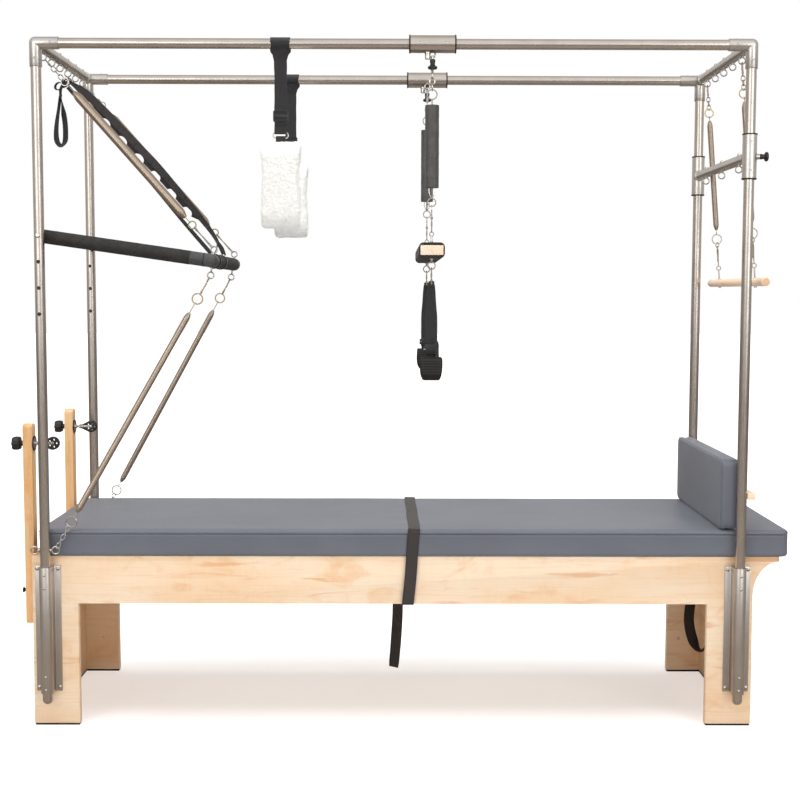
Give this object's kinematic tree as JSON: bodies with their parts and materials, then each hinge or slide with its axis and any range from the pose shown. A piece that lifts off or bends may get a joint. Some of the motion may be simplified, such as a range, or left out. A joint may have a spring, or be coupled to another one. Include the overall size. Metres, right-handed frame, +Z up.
{
  "type": "pilates trapeze table",
  "caption": "Padded wooden exercise table under a steel tube frame, with a sprung push-through bar, a hanging trapeze, fleece and ankle loops, a roll-down bar, a backrest and pulleys.",
  "frame": {"origin": "on the floor under the middle of the overall length and width", "axes": "+X along the table towards the backrest, +Y across it away from the viewer, +Z up"},
  "size_m": [2.4669, 0.805, 2.1783],
  "materials": {
    "birch": "clear satin lacquer",
    "dowel": "clear satin lacquer",
    "grey_vinyl": "soft matt vinyl",
    "brown_vinyl": "soft matt vinyl",
    "tube_steel": "fine brushed",
    "bright_steel": "bright plated",
    "grey_aluminium": "anodised satin",
    "black_plastic": "moulded",
    "black_foam": "closed-cell foam grip",
    "black_webbing": "woven webbing",
    "fleece": "deep pile fleece"
  },
  "bodies": {
    "base": {"side_panel_front": "birch", "side_panel_back": "birch", "end_panel_left": "birch", "end_panel_right": "birch", "deck_board": "birch", "mattress": "grey_vinyl", "mattress_strap": "black_webbing", "stowed_strap": "black_webbing", "post_front_left": "tube_steel", "post_back_left": "tube_steel", "post_front_right": "tube_steel", "post_back_right": "tube_steel", "bracket_front_left": "grey_aluminium", "bracket_back_left": "grey_aluminium", "bracket_front_right": "grey_aluminium", "bracket_back_right": "grey_aluminium", "top_rail_front": "tube_steel", "top_rail_back": "tube_steel", "end_bar_left": "grey_aluminium", "end_bar_right": "grey_aluminium", "safety_strap": "black_webbing"},
    "backrest": {"backrest_pad": "grey_vinyl", "backrest_batten": "birch"},
    "crossbar": {"crossbar": "tube_steel"},
    "crossbar_plunger": {"crossbar_plunger": "black_plastic"},
    "trapeze": {"hanger_front": "bright_steel", "hanger_back": "bright_steel", "padded_sleeve_front": "black_foam", "padded_sleeve_back": "black_foam", "seat_bar": "brown_vinyl"},
    "push_bar": {"push_through_bar": "black_foam"},
    "upper_springs": {"upper_spring_front": "bright_steel", "upper_spring_back": "bright_steel"},
    "upper_hooks": {"upper_hook_front": "bright_steel", "upper_hook_back": "bright_steel"},
    "lower_springs": {"lower_spring_front": "bright_steel", "lower_spring_back": "bright_steel"},
    "lower_hooks": {"lower_hook_front": "bright_steel", "lower_hook_back": "bright_steel"},
    "roll_down": {"roll_bar": "dowel", "roll_spring_front": "bright_steel", "roll_spring_back": "bright_steel"},
    "collar_front": {"collar_front": "tube_steel"},
    "collar_plunger_front": {"collar_plunger_front": "black_plastic"},
    "ankle_loop_front": {"ankle_loop_front": "black_webbing"},
    "fleece_webbing_front": {"fleece_webbing_front": "black_webbing"},
    "fleece_loop_front": {"fleece_loop_front": "fleece"},
    "riser_front": {"riser_front": "birch"},
    "star_knob_front": {"star_knob_front": "black_plastic"},
    "pulley_block_front": {"pulley_block_front": "black_plastic"},
    "pulley_sheave_front": {"pulley_sheave_front": "black_plastic"},
    "collar_back": {"collar_back": "tube_steel"},
    "collar_plunger_back": {"collar_plunger_back": "black_plastic"},
    "ankle_loop_back": {"ankle_loop_back": "black_webbing"},
    "fleece_webbing_back": {"fleece_webbing_back": "black_webbing"},
    "fleece_loop_back": {"fleece_loop_back": "fleece"},
    "riser_back": {"riser_back": "birch"},
    "star_knob_back": {"star_knob_back": "black_plastic"},
    "pulley_block_back": {"pulley_block_back": "black_plastic"},
    "pulley_sheave_back": {"pulley_sheave_back": "black_plastic"}
  },
  "joints": [
    {"name": "bar_hinge", "type": "hinge", "parent": "base", "child": "push_bar", "pos_m": [-1.1142, 0, 1.563], "axis": [0, -1, 0], "range_deg": [0, 20], "deforming": ["safety_strap"]},
    {"name": "upper_spring_swing", "type": "hinge", "parent": "base", "child": "upper_springs", "pos_m": [-1.11167, 0, 2.11915], "axis": [0, -1, 0], "range_deg": [0, 9.69]},
    {"name": "upper_spring_stretch", "type": "slide", "parent": "upper_springs", "child": "upper_hooks", "axis": [0.6637, 0, -0.748], "range_m": [-0.14158, 0], "deforming": ["upper_spring_front", "upper_spring_back"]},
    {"name": "lower_spring_swing", "type": "hinge", "parent": "base", "child": "lower_springs", "pos_m": [-1.07894, 0, 0.57903], "axis": [0, -1, 0], "range_deg": [0, 4]},
    {"name": "lower_spring_stretch", "type": "slide", "parent": "lower_springs", "child": "lower_hooks", "axis": [0.4889, 0, 0.8724], "range_m": [0, 0.17492], "deforming": ["lower_spring_front", "lower_spring_back"]},
    {"name": "crossbar_lift", "type": "slide", "parent": "base", "child": "crossbar", "axis": [0, 0, 1], "range_m": [-0.3, 0]},
    {"name": "crossbar_plunger_pull", "type": "slide", "parent": "crossbar", "child": "crossbar_plunger", "axis": [1, 0, 0], "range_m": [0, 0.008], "stiffness_N_per_m": 1500, "springref_m": -0.003},
    {"name": "collar_slide_front", "type": "slide", "parent": "base", "child": "collar_front", "axis": [1, 0, 0], "range_m": [-0.15, 0.45]},
    {"name": "collar_slide_back", "type": "slide", "parent": "base", "child": "collar_back", "axis": [1, 0, 0], "range_m": [-0.155, 0.455]},
    {"name": "collar_plunger_pull_front", "type": "slide", "parent": "collar_front", "child": "collar_plunger_front", "axis": [0, 0, -1], "range_m": [0, 0.008], "stiffness_N_per_m": 1500, "springref_m": -0.003},
    {"name": "collar_plunger_pull_back", "type": "slide", "parent": "collar_back", "child": "collar_plunger_back", "axis": [0, 0, -1], "range_m": [0, 0.008], "stiffness_N_per_m": 1500, "springref_m": -0.003},
    {"name": "trapeze_swing", "type": "hinge", "parent": "collar_front", "child": "trapeze", "pos_m": [0.1043, -0.3225, 2.12097], "axis": [0, 1, 0], "range_deg": [-15, 15]},
    {"name": "ankle_loop_swing_front", "type": "hinge", "parent": "trapeze", "child": "ankle_loop_front", "pos_m": [0.1043, -0.3225, 1.46906], "axis": [0, 1, 0], "range_deg": [-30, 30]},
    {"name": "ankle_loop_swing_back", "type": "hinge", "parent": "trapeze", "child": "ankle_loop_back", "pos_m": [0.1043, 0.3225, 1.46906], "axis": [0, 1, 0], "range_deg": [-30, 30]},
    {"name": "fleece_strap_swing_front", "type": "hinge", "parent": "base", "child": "fleece_webbing_front", "pos_m": [-0.3632, -0.3525, 2.15], "axis": [1, 0, 0], "range_deg": [-25, 25]},
    {"name": "fleece_loop_swing_front", "type": "hinge", "parent": "fleece_webbing_front", "child": "fleece_loop_front", "pos_m": [-0.3632, -0.3525, 1.864], "axis": [1, 0, 0], "range_deg": [-45, 45]},
    {"name": "fleece_strap_swing_back", "type": "hinge", "parent": "base", "child": "fleece_webbing_back", "pos_m": [-0.3862, 0.3525, 2.15], "axis": [1, 0, 0], "range_deg": [-25, 25]},
    {"name": "fleece_loop_swing_back", "type": "hinge", "parent": "fleece_webbing_back", "child": "fleece_loop_back", "pos_m": [-0.3862, 0.3525, 1.864], "axis": [1, 0, 0], "range_deg": [-45, 45]},
    {"name": "roll_down_swing", "type": "hinge", "parent": "base", "child": "roll_down", "pos_m": [1.08612, 0, 2.1182], "axis": [0, -1, 0], "range_deg": [0, 25]},
    {"name": "riser_lift_front", "type": "slide", "parent": "base", "child": "riser_front", "axis": [0, 0, 1], "range_m": [-0.06, 0.06]},
    {"name": "riser_lift_back", "type": "slide", "parent": "base", "child": "riser_back", "axis": [0, 0, 1], "range_m": [-0.06, 0.06]},
    {"name": "star_knob_turn_front", "type": "hinge", "parent": "riser_front", "child": "star_knob_front", "pos_m": [-1.1958, -0.27, 0.906], "axis": [1, 0, 0], "continuous": true},
    {"name": "star_knob_turn_back", "type": "hinge", "parent": "riser_back", "child": "star_knob_back", "pos_m": [-1.1958, 0.27, 0.906], "axis": [1, 0, 0], "continuous": true},
    {"name": "pulley_swivel_front", "type": "hinge", "parent": "riser_front", "child": "pulley_block_front", "pos_m": [-1.1042, -0.27, 0.906], "axis": [1, 0, 0], "range_deg": [-90, 90]},
    {"name": "pulley_swivel_back", "type": "hinge", "parent": "riser_back", "child": "pulley_block_back", "pos_m": [-1.1042, 0.27, 0.906], "axis": [1, 0, 0], "range_deg": [-90, 90]},
    {"name": "pulley_wheel_turn_front", "type": "hinge", "parent": "pulley_block_front", "child": "pulley_sheave_front", "pos_m": [-1.1042, -0.27, 0.906], "axis": [0, 1, 0], "continuous": true},
    {"name": "pulley_wheel_turn_back", "type": "hinge", "parent": "pulley_block_back", "child": "pulley_sheave_back", "pos_m": [-1.1042, 0.27, 0.906], "axis": [0, 1, 0], "continuous": true},
    {"name": "backrest_lift", "type": "slide", "parent": "base", "child": "backrest", "axis": [0, 0, 1], "range_m": [0, 0.25]}
  ],
  "couplings": [
    {"joint": "upper_spring_swing", "follows": "bar_hinge", "ratio": 0.47514},
    {"joint": "upper_spring_stretch", "follows": "bar_hinge", "m_per_rad": -0.39765},
    {"joint": "lower_spring_swing", "follows": "bar_hinge", "ratio": 0.19623},
    {"joint": "lower_spring_stretch", "follows": "bar_hinge", "m_per_rad": 0.49128},
    {"joint": "collar_slide_back", "follows": "collar_slide_front", "ratio": 1}
  ]
}
